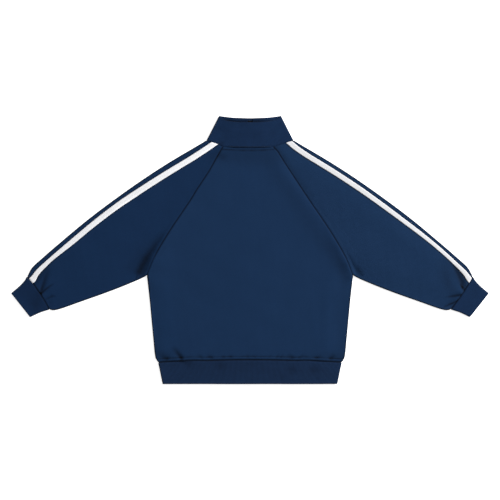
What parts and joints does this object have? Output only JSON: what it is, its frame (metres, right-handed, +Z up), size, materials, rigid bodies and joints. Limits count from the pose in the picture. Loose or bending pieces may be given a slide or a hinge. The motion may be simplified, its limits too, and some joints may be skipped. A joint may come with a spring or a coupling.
{
  "type": "track jacket",
  "caption": "Child's navy knitted track jacket laid flat on its front: stand collar, raglan sleeves with white tapes, ribbed cuffs and hem band, zip front.",
  "frame": {"origin": "middle of the jacket's footprint, on the surface that it lies on", "axes": "+X towards the wearer's right sleeve, +Y from the hem towards the collar, +Z up out of the back of the jacket, which lies on its front"},
  "size_m": [0.9518, 0.5348, 0.0095],
  "materials": {
    "jersey": "smooth double-knit jersey, navy, matt with a soft sheen",
    "rib": "doubled rib knit, navy, matt",
    "white_tape": "flat woven tape, white, matt",
    "zip_tape": "woven zip tape with nylon teeth, navy",
    "zip_metal": "dark nickel plating, satin"
  },
  "bodies": {
    "jacket": {"back": "jersey", "front_left": "jersey", "front_right": "jersey", "sleeve_left": "jersey", "sleeve_right": "jersey", "collar": "rib", "cuff_left": "rib", "cuff_right": "rib", "hem_rib": "rib", "tape_left": "white_tape", "tape_right": "white_tape", "zip_stringer_left": "zip_tape", "zip_stringer_right": "zip_tape", "zip_slider": "zip_metal", "zip_box": "zip_metal"},
    "pull": {"zip_pull": "zip_metal"}
  },
  "joints": [
    {"name": "zip_pull_hinge", "type": "hinge", "parent": "jacket", "child": "pull", "pos_m": [0, 0.251, 0.0016], "axis": [1, 0, 0], "range_deg": [0, 170]}
  ]
}
